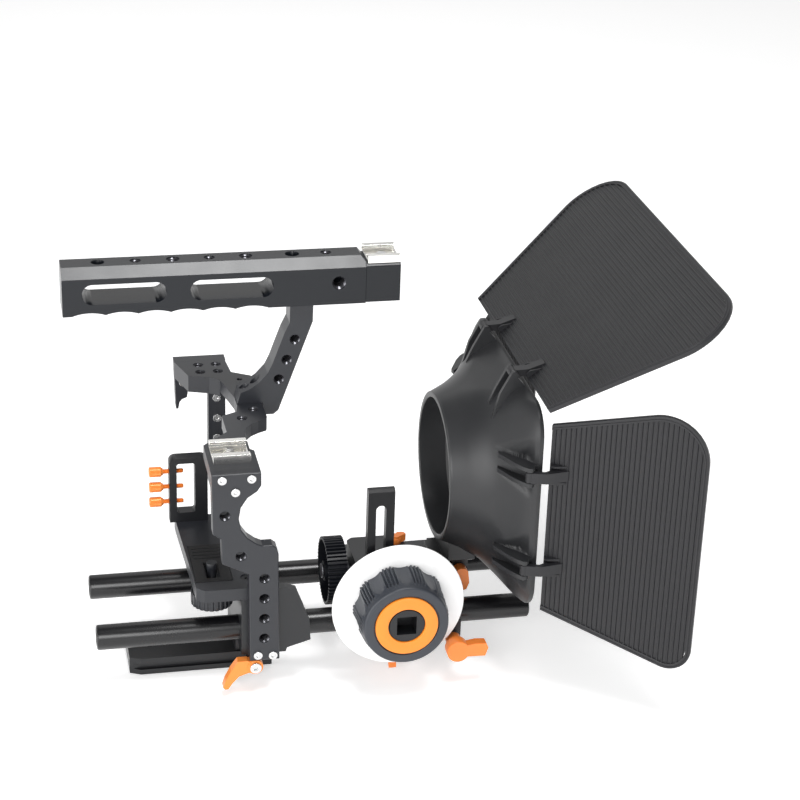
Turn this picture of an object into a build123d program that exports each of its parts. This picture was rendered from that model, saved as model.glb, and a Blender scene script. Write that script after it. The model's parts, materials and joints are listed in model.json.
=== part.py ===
"""Camera cage on 15 mm rods with top handle, follow focus and matte box.

Working frame: +X forward along the rods, +Z up, z = 0 on the rod axes,
x = 0 at the rear ends of the rods.  Every part is shifted by ROW_SHIFT on
export, so the row origin is the mouth of the 3/8 inch tripod thread.
All dimensions are millimetres.
"""
import os
from math import cos, sin, pi, radians

from build123d import *

# ---- driving dimensions -------------------------------------------------
ROW_SHIFT = (-53.0, 0.0, 34.5)
ROD_D, ROD_SPACING, ROD_LEN = 15.0, 60.0, 262.0
ROD_R, ROD_Y = ROD_D / 2, ROD_SPACING / 2
RUN = 0.06                       # radial running clearance
GAP = 0.3                        # clearance between neighbouring bodies
LENS_Z = 84.0                    # lens axis above the rod axes
CAGE_NEAR, CAGE_FAR = -53.0, 116.0
PLATE_T = 8.0
CAGE_TOP = 113.6
BASE_TOP, BASE_T = 34.6, 8.0
TRIPOD_BOTTOM, TRIPOD_T = -34.5, 11.0
QUARTER_R, THREE_EIGHTHS_R = 3.2, 4.2
HANDLE_Y, HANDLE_W = 47.5, 25.0
HANDLE_Z, HANDLE_SIDE, HANDLE_H = 177.6, 22.9, 28.7
HANDLE_X0, HANDLE_JOINT, HANDLE_X1 = -9.5, 169.5, 190.5
WHEEL_X, WHEEL_Z = 176.4, 20.1
GEAR_X0, GEAR_W, GEAR_Y = 139.4, 12.0, -5.6
GEAR_TEETH, GEAR_MODULE = 50, 0.8
POST_Y0, POST_T = -48.0, 6.0
BOX_X0, BOX_FRONT = 207.0, 252.0
COLLAR_R, COLLAR_BORE = 45.2, 41.5
BOX_HALF_W, BOX_HALF_H, BOX_CORNER, BOX_LIFT = 78.0, 65.0, 18.0, 3.0
TOP_HINGE_X, TOP_HINGE_Z = 243.0, 158.7
SIDE_HINGE_X, SIDE_HINGE_Y = 244.0, 80.4
TOP_EARS, SIDE_EARS = 34.0, 30.0
FLAG_T = 3.0
TOP_FLAG = dict(half_in=83.8, half_out=136.0, length=118.5, angle=35.7, corners=(28.0, 28.0))
SIDE_FLAG = dict(half_in=60.2, half_out=86.0, length=92.0, angle=31.8, corners=(26.0, 14.0))
FAR_FLAG_ANGLE = 53.0

PARTS = {}


# ---- helpers ------------------------------------------------------------
def box(x0, x1, y0, y1, z0, z1):
    return Pos((x0 + x1) / 2, (y0 + y1) / 2, (z0 + z1) / 2) * Box(x1 - x0, y1 - y0, z1 - z0)


def poly(plane, points, depth):
    with BuildPart() as bp:
        with BuildSketch(plane):
            with BuildLine():
                Polyline(*points, close=True)
            make_face()
        extrude(amount=depth)
    return bp.part


def prism_y(points, y0, y1):
    """Outline given as (x, z), running from y0 to y1."""
    return poly(Plane(origin=(0, y1, 0), x_dir=(1, 0, 0), z_dir=(0, -1, 0)), points, y1 - y0)


def prism_z(points, z0, z1):
    return poly(Plane.XY.offset(z0), points, z1 - z0)


def prism_x(points, x0, x1):
    """Outline given as (y, z), running from x0 to x1."""
    return poly(Plane(origin=(x0, 0, 0), x_dir=(0, 1, 0), z_dir=(1, 0, 0)), points, x1 - x0)


def cyl(axis, a, b, r, lo, hi):
    """Cylinder along 'x', 'y' or 'z'; a, b are its other two coordinates in order."""
    h = hi - lo
    if axis == "x":
        return Pos((lo + hi) / 2, a, b) * Rot(0, 90, 0) * Cylinder(r, h)
    if axis == "y":
        return Pos(a, (lo + hi) / 2, b) * Rot(90, 0, 0) * Cylinder(r, h)
    return Pos(a, b, (lo + hi) / 2) * Cylinder(r, h)


def arc_points(cx, cy, r, a0, a1, n=14):
    return [(cx + r * cos(radians(a0 + (a1 - a0) * i / n)),
             cy + r * sin(radians(a0 + (a1 - a0) * i / n))) for i in range(n + 1)]


def slot_y(x0, x1, z0, z1, y0, y1):
    r = (z1 - z0) / 2
    if x1 - x0 >= z1 - z0:
        s = box(x0 + r, x1 - r, y0, y1, z0, z1)
        ends = [(x0 + r, z0 + r), (x1 - r, z0 + r)]
    else:
        r = (x1 - x0) / 2
        s = box(x0, x1, y0, y1, z0 + r, z1 - r)
        ends = [(x0 + r, z0 + r), (x0 + r, z1 - r)]
    for cx, cz in ends:
        s += cyl("y", cx, cz, r, y0, y1)
    return s


def add(node, shape):
    PARTS[node] = shape


def group(*shapes):
    solids = []
    for s in shapes:
        solids += list(s.solids())
    return Compound(children=solids)


def button_screw(axis, a, b, face, out, shank_r=1.5, head_r=2.6, depth=6.0, head=1.2):
    """Round socket screw: head stands out of `face` in direction `out` (+1 or -1)."""
    lo, hi = sorted((face, face + out * head))
    s = cyl(axis, a, b, head_r, lo, hi)
    lo, hi = sorted((face, face - out * depth))
    s += cyl(axis, a, b, shank_r, lo, hi)
    lo, hi = sorted((face + out * (head - 0.7), face + out * (head + 1)))
    return s - cyl(axis, a, b, 1.1, lo, hi)


# ---- rods ---------------------------------------------------------------
def rod(y):
    r = cyl("x", y, 0, ROD_R, 0, ROD_LEN)
    r = chamfer(r.edges().filter_by(GeomType.CIRCLE), 0.8)
    for lo, hi in ((-1, 20), (ROD_LEN - 20, ROD_LEN + 1)):
        r -= cyl("x", y, 0, 5.2, lo, hi)
    return r


add("rod_near", rod(-ROD_Y))
add("rod_far", rod(ROD_Y))

# ---- tripod plate and rod clamp block -------------------------------------
TRIPOD_X0, TRIPOD_X1, TRIPOD_HW = 20.0, 106.0, 19.8
THREADS_QUARTER = (33.0, 73.0)
t_top = TRIPOD_BOTTOM + TRIPOD_T
tripod = prism_z([(TRIPOD_X0 + 6.6, -TRIPOD_HW), (TRIPOD_X1, -TRIPOD_HW), (TRIPOD_X1, TRIPOD_HW),
                  (TRIPOD_X0 + 6.6, TRIPOD_HW), (TRIPOD_X0, TRIPOD_HW - 3),
                  (TRIPOD_X0, -TRIPOD_HW + 3)], TRIPOD_BOTTOM, t_top)
for s in (-1, 1):
    tripod -= box(TRIPOD_X0 - 1, TRIPOD_X1 - 14, s * TRIPOD_HW - 2.0, s * TRIPOD_HW + 2.0,
                  TRIPOD_BOTTOM + 3.4, TRIPOD_BOTTOM + 7.2)
BLOCK_X0, BLOCK_BOTTOM, BLOCK_HW = 84.0, -10.5, 45.0
tripod += box(BLOCK_X0, TRIPOD_X1, -18, 18, t_top, BLOCK_BOTTOM)
tripod -= cyl("z", 53, 0, THREE_EIGHTHS_R, TRIPOD_BOTTOM - 1, t_top + 1)
for x in THREADS_QUARTER:
    tripod -= cyl("z", x, 0, QUARTER_R, TRIPOD_BOTTOM - 1, t_top + 1)
PLATE_BOLTS = [(x, y) for x in (89.5, 100.5) for y in (-11.0, 11.0)]
for x, y in PLATE_BOLTS:
    tripod -= cyl("z", x, y, 2.6, TRIPOD_BOTTOM - 1, BLOCK_BOTTOM + 1)
    tripod -= cyl("z", x, y, 4.4, TRIPOD_BOTTOM - 1, TRIPOD_BOTTOM + 4)
add("tripod_plate", tripod)

FLANGE_T = 5.0                   # raised cheek on the near side of the block
block = box(BLOCK_X0, 105.2, -BLOCK_HW, BLOCK_HW, BLOCK_BOTTOM, 10.0)
block += box(BLOCK_X0, 105.2, -BLOCK_HW, -20.0, 10.0, BASE_TOP - BASE_T)
block += box(BLOCK_X0, 91.5, -20.0, BLOCK_HW, 10.0, BASE_TOP - BASE_T)
block += prism_y([(BLOCK_X0, BLOCK_BOTTOM), (110.5, BLOCK_BOTTOM), (111.3, -7.9), (125.4, -3.7),
                  (124.5, 10.3), (116.6, 31.1), (109.8, 33.5), (105.2, 33.5),
                  (105.2, BASE_TOP - BASE_T), (BLOCK_X0, BASE_TOP - BASE_T)],
                 -BLOCK_HW, -BLOCK_HW + FLANGE_T)
for y in (-ROD_Y, ROD_Y):
    block -= cyl("x", y, 0, ROD_R + 0.02, 70, 140)
    block -= box(70, 140, y - 0.8, y + 0.8, BLOCK_BOTTOM - 1, 0)
for x, y in PLATE_BOLTS:
    block -= cyl("z", x, y, 2.0, BLOCK_BOTTOM - 1, 4)
LEG_SCREWS = [(92.7, -6.6), (101.6, -7.2)]
for x, z in LEG_SCREWS:
    block -= cyl("y", x, z, 1.55, -BLOCK_HW - 1, -BLOCK_HW + 6)
BASE_SCREWS = [(89.0, -32.0), (100.0, -32.0), (87.4, 4.0), (87.4, 34.0)]
for x, y in BASE_SCREWS:
    block -= cyl("z", x, y, 2.0, 16, 30)
add("rod_clamp_block", block)
add("tripod_plate_screws", group(*[
    cyl("z", x, y, 4.2, TRIPOD_BOTTOM + 0.6, TRIPOD_BOTTOM + 4)
    - cyl("z", x, y, 2, TRIPOD_BOTTOM - 1, TRIPOD_BOTTOM + 2)
    + cyl("z", x, y, 2.0, TRIPOD_BOTTOM + 4, 0) for x, y in PLATE_BOLTS]))

# ---- cam lever of the rod clamp (turns about Y) -----------------------------
LEVER_X, LEVER_Z = 91.5, -15.6
arm = prism_y([(94.5, -18.4), (95.4, -13.2), (91.5, -10.9), (87.5, -11.8), (84.6, -8.6),
               (80.8, -11.5), (77.0, -17.0), (73.6, -24.0), (72.2, -28.4), (73.4, -29.8),
               (75.4, -29.6), (77.6, -26.0), (81.8, -21.4), (87.5, -19.4), (91.2, -19.8)],
              -51.5, -46.0)
arm += cyl("y", LEVER_X, LEVER_Z, 4.6, -52.0, -45.4)
arm -= cyl("y", LEVER_X, LEVER_Z, 2.5, -60, -40)
arm -= box(80, 110, -53.4, -44.0, -11.2, 0)
add("clamp_lever", arm)
add("clamp_lever_screw", cyl("y", LEVER_X, LEVER_Z, 2.5, -52.9, -45.6)
    + cyl("y", LEVER_X, LEVER_Z, 3.4, -53.6, -52.0)
    - cyl("y", LEVER_X, LEVER_Z, 1.4, -54, -52.6))
add("clamp_lever_bracket", box(86.5, 96.5, -45.0, -37.0, -21.5, BLOCK_BOTTOM)
    - cyl("y", LEVER_X, LEVER_Z, 1.6, -46, -40))

# ---- base plate -------------------------------------------------------------
BASE_Z0 = BASE_TOP - BASE_T
base = prism_z([(62.5, -45), (105.0, -45), (105.0, -21), (102, -18), (91.5, -18), (91.5, 48),
                (94.5, 51), (94.5, 108), (83.5, 108), (83.5, 50), (55.0, 50), (55.0, 44),
                (58.0, -40.5)], BASE_Z0, BASE_TOP)
base -= box(58.5, 80.5, -34.5, 10.5, BASE_TOP - 1.6, BASE_TOP + 1)
base -= box(66, 73, -30, -12, BASE_Z0 - 1, BASE_TOP + 1)
for x, y in BASE_SCREWS:
    base -= cyl("z", x, y, 2.1, BASE_Z0 - 1, BASE_TOP + 1)
    base -= cyl("z", x, y, 3.9, BASE_TOP - 3.4, BASE_TOP + 1)
add("base_plate", base)
pad = box(58.7, 80.3, -34.3, 10.3, BASE_TOP - 1.6, BASE_TOP + 0.4)
pad -= box(65.4, 73.6, -30.6, -11.4, 20, 40)
for y in (-7, -3, 1, 5):
    pad -= box(60.5, 78.5, y, y + 1.6, BASE_TOP - 0.4, BASE_TOP + 1)
add("base_pad", pad)
add("base_plate_screws", group(*[
    cyl("z", x, y, 3.7, BASE_TOP - 3.4, BASE_TOP - 0.6) - cyl("z", x, y, 1.5, BASE_TOP - 2, 40)
    + cyl("z", x, y, 1.95, 18, BASE_TOP - 3.4) for x, y in BASE_SCREWS]))
SCREW_X, SCREW_Y = 69.5, -21.0
wheel = cyl("z", SCREW_X, SCREW_Y, 12.5, 13.5, 21.5)
for k in range(24):
    a = radians(15 * k)
    wheel -= cyl("z", SCREW_X + 12.9 * cos(a), SCREW_Y + 12.9 * sin(a), 0.9, 13, 22)
wheel += cyl("z", SCREW_X, SCREW_Y, 5.5, 21.5, BASE_Z0 - GAP)
wheel += cyl("z", SCREW_X, SCREW_Y, 2.8, BASE_Z0 - GAP, BASE_TOP + 1.0)
wheel += cyl("z", SCREW_X, SCREW_Y, 3.1, BASE_TOP + 1.0, BASE_TOP + 5.5)
wheel -= box(SCREW_X - 6, SCREW_X + 6, SCREW_Y - 0.8, SCREW_Y + 0.8, 13, 15)
add("camera_screw", wheel)

# ---- side plates -------------------------------------------------------------
NEAR_OUT = [(65.9, CAGE_TOP), (94.3, CAGE_TOP), (94.4, 105.2), (92.0, 101.5)]
NEAR_OUT += [(86.4, 97.6), (82.6, 91.6), (81.5, 84.6), (82.8, 77.6), (86.6, 71.9), (91.5, 68.0)]
NEAR_OUT += [(95.2, 66.2), (101.0, 66.2), (103.6, 64.2), (104.6, 60.0), (105.6, -10.5),
             (88.1, -10.5), (87.4, 48.0), (71.9, 55.8), (71.4, 72.0), (66.6, 75.4)]
NEAR_SCREWS = [(71.9, 110.2), (88.7, 110.2), (79.5, 102.2)]
NEAR_HOLES = [(73.5, 87.2), (82.7, 60.4)]
LEG_HOLES = [(96.5, 4.4 + 13.4 * k) for k in range(4)]
near = prism_y(NEAR_OUT, CAGE_NEAR, CAGE_NEAR + PLATE_T)
near = chamfer(near.faces().sort_by(Axis.Y)[0].edges(), 0.5)
for x, z in NEAR_HOLES + LEG_HOLES:
    near -= cyl("y", x, z, QUARTER_R, CAGE_NEAR - 1, CAGE_NEAR + PLATE_T + 1)
for x, z in NEAR_SCREWS[:2] + LEG_SCREWS:
    near -= cyl("y", x, z, 1.6, CAGE_NEAR - 1, CAGE_NEAR + PLATE_T + 1)
near -= cyl("y", *NEAR_SCREWS[2], 1.6, CAGE_NEAR - 1, CAGE_NEAR + 7)
add("near_side_plate", near)

FAR_OUT = [(62.0, CAGE_TOP), (94.5, CAGE_TOP), (94.5, BASE_Z0), (83.5, BASE_Z0), (83.5, 98.5),
           (76.5, 98.5), (72.0, 96.5), (70.6, 93.0), (70.0, 88.6), (66.8, 87.4), (65.2, 85.4),
           (64.4, 81.0), (63.0, 81.0)]
FAR_SCREWS = [(88.8, 87.5), (89.0, 73.2), (89.0, 59.2), (67.5, 99.4)]
far = prism_y(FAR_OUT, CAGE_FAR - PLATE_T, CAGE_FAR)
for x, z in FAR_SCREWS:
    far -= cyl("y", x, z, 1.6, CAGE_FAR - PLATE_T - 1, CAGE_FAR - 2)
FAR_BASE_SCREWS = [(86.6, 30.6), (91.6, 30.6)]
FAR_TOP_SCREWS = [(70.0, 109.6), (87.0, 109.6)]
for x, z in FAR_BASE_SCREWS + FAR_TOP_SCREWS:
    far -= cyl("y", x, z, 1.6, CAGE_FAR - PLATE_T - 1, CAGE_FAR + 1)
add("far_side_plate", far)
base = PARTS["base_plate"]
for x, z in FAR_BASE_SCREWS:
    base -= cyl("y", x, z, 1.55, CAGE_FAR - PLATE_T - 5, CAGE_FAR)
PARTS["base_plate"] = base

# ---- top plate ---------------------------------------------------------------
TOP_PLAN = [(62.0, 108.0), (94.0, 108.0), (95.5, 88.0), (107.0, 81.0), (108.2, 20.2)]
TOP_PLAN += [(107.4, 17.3), (102.2, 14.6), (97.2, 10.6), (93.6, 5.2), (92.0, -1.0), (92.0, -21.7),
             (94.3, -24.0), (94.3, -45.0), (66.0, -45.0), (66.0, -13.5), (81.7, 2.4),
             (81.6, 24.8), (91.1, 29.5), (92.6, 38.0), (92.4, 50.0), (90.2, 62.0), (87.0, 76.5),
             (81.0, 81.5), (68.5, 85.5)]
top = prism_z(TOP_PLAN, CAGE_TOP - PLATE_T, CAGE_TOP)
top += prism_z([(62.0, 108.0), (94.0, 108.0), (95.5, 88.0), (90.5, 77.5), (87.0, 76.5),
                (81.0, 81.5), (68.5, 85.5)], CAGE_TOP - 11, CAGE_TOP - PLATE_T)
TOP_HOLES = [(76.6, 101.5), (87.6, 101.5), (76.6, 90.5), (87.6, 90.5), (101.7, 32.0), (93.3, 20.2)]
for x, y in TOP_HOLES:
    top -= cyl("z", x, y, QUARTER_R, CAGE_TOP - 12, CAGE_TOP + 1)
top -= cyl("z", 99.2, 76.2, 1.7, CAGE_TOP - 12, CAGE_TOP + 1)
ARM_SCREW_X = (98.2, 104.8)
for x in ARM_SCREW_X:
    top -= cyl("z", x, HANDLE_Y, 1.6, CAGE_TOP - 12, CAGE_TOP + 1)
for x, z in NEAR_SCREWS[:2]:
    top -= cyl("y", x, z, 1.55, -46, -38)
for x, z in FAR_TOP_SCREWS:
    top -= cyl("y", x, z, 1.55, 105.6, 109)
SHOE_X = (68.6, 90.2)
for y in (-34.0, -24.0):
    top -= cyl("z", 80.2, y, 1.6, CAGE_TOP - 12, CAGE_TOP + 1)
add("top_plate", top)

add("near_plate_screws", group(*[button_screw("y", x, z, CAGE_NEAR, -1, depth=12.0)
                                 for x, z in NEAR_SCREWS[:2] + LEG_SCREWS],
                               button_screw("y", *NEAR_SCREWS[2], CAGE_NEAR, -1, depth=6.0)))
add("far_plate_screws", group(*[button_screw("y", x, z, CAGE_FAR - PLATE_T, -1, depth=5.5)
                                for x, z in FAR_SCREWS]))
add("far_corner_screws", group(*[button_screw("y", x, z, CAGE_FAR, 1, depth=10.0)
                                 for x, z in FAR_BASE_SCREWS + FAR_TOP_SCREWS]))


# ---- accessory shoes (polished steel channels) -----------------------------
def shoe(x0, x1, y0, y1, z, h=5.5):
    """Channel open along X: floor plate with two folded rails along X."""
    s = box(x0, x1, y0, y1, z, z + 1.5)
    for a, b in ((y0, y0 + 1.5), (y1 - 1.5, y1)):
        s += box(x0, x1, a, b, z + 1.5, z + h)
    s += box(x0, x1, y0, y0 + 4.2, z + h - 1.4, z + h)
    s += box(x0, x1, y1 - 4.2, y1, z + h - 1.4, z + h)
    return s


near_shoe = shoe(SHOE_X[0], SHOE_X[1], -40.2, -17.6, CAGE_TOP)
for y in (-34.0, -24.0):
    near_shoe -= cyl("z", 80.2, y, 1.7, CAGE_TOP - 1, CAGE_TOP + 3)
add("near_shoe", near_shoe)
add("near_shoe_screws", group(*[cyl("z", 80.2, y, 2.4, CAGE_TOP + 1.5, CAGE_TOP + 2.5)
                                + cyl("z", 80.2, y, 1.5, CAGE_TOP - 6, CAGE_TOP + 1.5)
                                for y in (-34.0, -24.0)]))

# ---- handle arm --------------------------------------------------------------
ARM_Y0, ARM_Y1 = 40.0, 55.0
ARM_OUT = [(124.8, HANDLE_Z), (124.6, 164.9), (121.5, 158.5), (118.0, 149.0), (114.3, 138.6),
           (111.4, 132.7), (105.9, 126.6), (100.2, 122.7), (95.0, 120.6), (93.0, CAGE_TOP),
           (108.4, CAGE_TOP), (108.4, CAGE_TOP - PLATE_T), (115.2, CAGE_TOP - PLATE_T),
           (118.1, 108.0), (138.6, 165.4), (138.8, HANDLE_Z)]
harm = prism_y(ARM_OUT, ARM_Y0, ARM_Y1)
ARM_HOLES = [(127.9, 154.1), (123.0, 141.2), (118.3, 128.6)]
for x, z in ARM_HOLES:
    harm -= cyl("y", x, z, QUARTER_R, ARM_Y0 - 1, ARM_Y1 + 1)
for x in ARM_SCREW_X:
    harm -= cyl("z", x, HANDLE_Y, 1.6, CAGE_TOP - 1, 130)
    harm -= cyl("z", x, HANDLE_Y, 3.0, CAGE_TOP + 3.5, 140)
add("handle_arm", harm)
add("arm_foot_screws", group(*[cyl("z", x, HANDLE_Y, 2.8, CAGE_TOP + 3.5, CAGE_TOP + 6.3)
                               - cyl("z", x, HANDLE_Y, 1.2, CAGE_TOP + 4.8, CAGE_TOP + 8)
                               + cyl("z", x, HANDLE_Y, 1.5, CAGE_TOP - 7, CAGE_TOP + 3.5)
                               for x in ARM_SCREW_X]))

# ---- handle bar ---------------------------------------------------------------
HW, HC = HANDLE_W / 2, HANDLE_H - HANDLE_SIDE
HSEC = [(HANDLE_Y - HW, HANDLE_Z), (HANDLE_Y + HW, HANDLE_Z), (HANDLE_Y + HW, HANDLE_Z + HANDLE_SIDE),
        (HANDLE_Y + HW - HC, HANDLE_Z + HANDLE_H), (HANDLE_Y - HW + HC, HANDLE_Z + HANDLE_H),
        (HANDLE_Y - HW, HANDLE_Z + HANDLE_SIDE)]
bar = prism_x(HSEC, HANDLE_X0, HANDLE_JOINT)
for k in range(6):
    bar -= cyl("y", 6.0 + 19.0 * k, HANDLE_Z - 28.2, 30.0, HANDLE_Y - HW - 1, HANDLE_Y + HW + 1)
SLOTS = [(1.9, 51.2), (65.0, 114.2)]
for a, b in SLOTS:
    bar -= slot_y(a, b, HANDLE_Z + 6.9, HANDLE_Z + 19.4, HANDLE_Y - HW - 1, HANDLE_Y + HW + 1)
bar -= cyl("y", 153.3, HANDLE_Z + 13.7, THREE_EIGHTHS_R, HANDLE_Y - HW - 1, HANDLE_Y - HW + 11)
bar -= prism_y([(HANDLE_JOINT - 2.5, HANDLE_Z + HANDLE_H), (HANDLE_JOINT + 1, HANDLE_Z + HANDLE_H + 1),
                (HANDLE_JOINT + 1, HANDLE_Z + HANDLE_H - 4.5)], HANDLE_Y - HW - 1, HANDLE_Y + HW + 1)
TOP_BAR_HOLES = [(12.3, 3.9), (34.2, 3.2), (56.1, 3.9), (77.5, 3.2), (99.1, 3.9), (126.7, 4.2),
                 (147.0, 3.2)]
for x, r in TOP_BAR_HOLES:
    bar -= cyl("z", x, HANDLE_Y, r, HANDLE_Z + HANDLE_H - 9, HANDLE_Z + HANDLE_H + 1)
bar -= cyl("z", 132.5, HANDLE_Y, 2.0, HANDLE_Z - 1, HANDLE_Z + 8)
PARTS["handle_arm"] -= cyl("z", 132.5, HANDLE_Y, 2.0, HANDLE_Z - 10, HANDLE_Z + 1)
add("handle_bar", bar)
add("handle_bolt", cyl("z", 132.5, HANDLE_Y, 1.95, HANDLE_Z - 9, HANDLE_Z + 7))
NHW = HW - 0.4
NOSE_SCREW_X, NOSE_H = 180.5, 24.6
nose = prism_x([(HANDLE_Y - NHW, HANDLE_Z + 0.3), (HANDLE_Y + NHW, HANDLE_Z + 0.3),
                (HANDLE_Y + NHW, HANDLE_Z + 23.1), (HANDLE_Y + NHW - 1.5, HANDLE_Z + NOSE_H),
                (HANDLE_Y - NHW + 1.5, HANDLE_Z + NOSE_H), (HANDLE_Y - NHW, HANDLE_Z + 23.1)],
               HANDLE_JOINT, HANDLE_X1)
nose -= cyl("z", NOSE_SCREW_X, HANDLE_Y, 1.6, HANDLE_Z + 14, HANDLE_Z + 30)
add("handle_nose", nose)
HS_Z = HANDLE_Z + NOSE_H
hs = shoe(170.6, 190.5, HANDLE_Y - 11.5, HANDLE_Y + 11.5, HS_Z, 4.6)
hs -= cyl("z", NOSE_SCREW_X, HANDLE_Y, 1.7, HS_Z - 1, HS_Z + 3)
add("handle_shoe", hs)
add("handle_shoe_screw", cyl("z", NOSE_SCREW_X, HANDLE_Y, 2.6, HS_Z + 1.5, HS_Z + 2.4)
    + cyl("z", NOSE_SCREW_X, HANDLE_Y, 1.5, HS_Z - 8, HS_Z + 1.5))

# ---- cable clamp ----------------------------------------------------------------
RING_Y0, RING_Y1 = 42.0, 50.0
CABLE_Z = (68.2, 57.8, 47.6)
ring = box(51.5, 75.0, RING_Y0, RING_Y1, BASE_TOP, 78.0)
ring = fillet(ring.edges().filter_by(Axis.Y).group_by(Axis.Z)[-1], 4.0)
hole = box(56.0, 67.2, RING_Y0 - 1, RING_Y1 + 1, 41.0, 74.5)
ring -= fillet(hole.edges().filter_by(Axis.Y), 1.5)
for z in CABLE_Z:
    ring -= cyl("x", 46.0, z, 2.0 + RUN, 50, 58)
add("cable_clamp_frame", ring)


def thumb_screw(z):
    s = cyl("x", 46.0, z, 2.0, 47.0, 60.6)
    s += cyl("x", 46.0, z, 3.2, 45.6, 47.8)
    s += box(40.4, 45.8, 43.0, 49.0, z - 1.1, z + 1.1)
    s += box(40.4, 42.2, 42.6, 49.4, z - 1.4, z + 1.4)
    return s


for name, z in zip(("upper", "middle", "lower"), CABLE_Z):
    add(f"cable_screw_{name}", thumb_screw(z))

# ---- follow focus: rod clamp and slotted post --------------------------------------
FF_X0, FF_X1, FF_HW, FF_TOP = 157.5, 190.0, 42.0, 10.6
ff = box(FF_X0, FF_X1, -FF_HW, FF_HW, -11.0, FF_TOP)
for y in (-ROD_Y, ROD_Y):
    ff -= cyl("x", y, 0, ROD_R + RUN, FF_X0 - 1, FF_X1 + 1)
ff -= box(FF_X0 - 1, FF_X1 + 1, -17.0, 17.0, -12.0, -6.0)
ff -= box(FF_X0 - 1, FF_X1 + 1, -FF_HW - 1, -ROD_Y, -0.6, 0.6)
add("follow_rod_clamp", ff)
post = box(157.6, 173.4, POST_Y0, POST_Y0 + POST_T, 50.0, 94.6)
post = chamfer(post.edges().filter_by(Axis.X).group_by(Axis.Z)[-1], 1.6)
post += box(157.6, 169.6, POST_Y0, POST_Y0 + POST_T, -9.0, 50.0)
post -= slot_y(162.4, 168.4, 24.0, 84.4, POST_Y0 - 1, POST_Y0 + POST_T + 1)
for z in (-6.0, 6.0):
    post -= cyl("y", 163.6, z, 1.7, POST_Y0 - 1, -41)
    PARTS["follow_rod_clamp"] -= cyl("y", 163.6, z, 1.0, -FF_HW - 1, -FF_HW + 3.4)
add("follow_post", post)
add("follow_post_screws", group(*[button_screw("y", 163.6, z, POST_Y0, -1, 1.0, 2.4, 9.0, 1.0)
                                  for z in (-6.0, 6.0)]))
lev = cyl("z", 176.0, -33.0, 5.0, -16.2, -11.3)
lev += prism_x([(-33.0, -16.2), (-33.0, -12.0), (-40.0, -12.8), (-45.6, -17.8), (-49.6, -24.8),
                (-47.8, -26.4), (-43.8, -23.0), (-39.0, -17.2)], 172.8, 177.2)
add("follow_clamp_lever", lev)

# ---- follow focus: gearbox ----------------------------------------------------------
GB = (155.6, 190.0, POST_Y0 + POST_T + GAP, 8.0, FF_TOP + GAP, 34.0)
gb = box(*GB)
gb = chamfer(gb.edges().filter_by(Axis.Z).group_by(Axis.X)[0], 3.0)
gb -= box(GB[0] + 3, GB[1] - 3, GB[2] + 6, GB[3] - 2.5, GB[4] + 2, GB[5] - 2.5)
gb -= cyl("y", WHEEL_X, WHEEL_Z, 4.0 + RUN, GB[2] - 1, GB[2] + 8)
gb -= cyl("x", GEAR_Y, WHEEL_Z, 3.0 + RUN, GB[0] - 1, GB[0] + 5)
gb += cyl("y", 165.4, 29.5, 2.7, POST_Y0 + 0.5, GB[2] + 1)
gb -= cyl("z", 184.0, -2.0, 1.5, GB[5] - 4, GB[5] + 1)
add("gearbox_housing", gb)
lock = cyl("z", 184.0, -2.0, 4.0, GB[5] + GAP, GB[5] + 4.2)
lock += prism_z([(181.0, -4.6), (184.5, -5.9), (190.8, -1.8), (189.8, 0.6), (186.0, 1.0)],
                GB[5] + 0.8, GB[5] + 5.6)
lock += cyl("z", 184.0, -2.0, 1.4, GB[5] - 2.4, GB[5] + 1)
add("gearbox_lock_lever", lock)


def spur(teeth, module, x0, width, bore):
    """Spur gear about X, one tooth gap centred on +Y, straight-flank teeth."""
    rp, ro, ri = teeth * module / 2, teeth * module / 2 + module, teeth * module / 2 - 1.2 * module
    pts = []
    for k in range(teeth):
        a = 2 * pi * (k + 0.5) / teeth
        for r, d in ((ri, -0.34), (ro, -0.14), (ro, 0.14), (ri, 0.34)):
            t = a + d * 2 * pi / teeth
            pts.append((GEAR_Y + r * cos(t), WHEEL_Z + r * sin(t)))
    return prism_x(pts, x0, x0 + width) - cyl("x", GEAR_Y, WHEEL_Z, bore, x0 - 1, x0 + width + 1)


gear = spur(GEAR_TEETH, GEAR_MODULE, GEAR_X0, GEAR_W, 3.0)
gear -= (cyl("x", GEAR_Y, WHEEL_Z, 19.0, GEAR_X0 - 1, GEAR_X0 + 8.0)
         - cyl("x", GEAR_Y, WHEEL_Z, 6.0, GEAR_X0 - 2, GEAR_X0 + 9.0))
add("drive_gear", gear)

# Right-angle pair, 1:1, both cones with their tip at the axes' crossing point.
BEVEL_TEETH, BEVEL_R, BEVEL_FACE = 16, 7.4, 3.0


def bevel():
    """Bevel gear about local +Z: large end at z = 0, tip of the cone at z = BEVEL_R."""
    def outline(r, z):
        pts = []
        for k in range(BEVEL_TEETH):
            a = 2 * pi * (k + 0.5) / BEVEL_TEETH
            for rr, d in ((r * 0.84, -0.36), (r * 0.965, -0.16), (r * 0.965, 0.16),
                          (r * 0.84, 0.36)):
                t = a + d * 2 * pi / BEVEL_TEETH
                pts.append((rr * cos(t), rr * sin(t)))
        with BuildSketch(Plane.XY.offset(z)) as sk:
            with BuildLine():
                Polyline(*pts, close=True)
            make_face()
        return sk.sketch.faces()[0]
    small = (BEVEL_R - BEVEL_FACE)
    body = loft([outline(BEVEL_R, 0), outline(small, BEVEL_FACE)], ruled=True)
    return body + Pos(0, 0, -1.0) * Cylinder(BEVEL_R * 0.82, 2.0)


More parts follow.
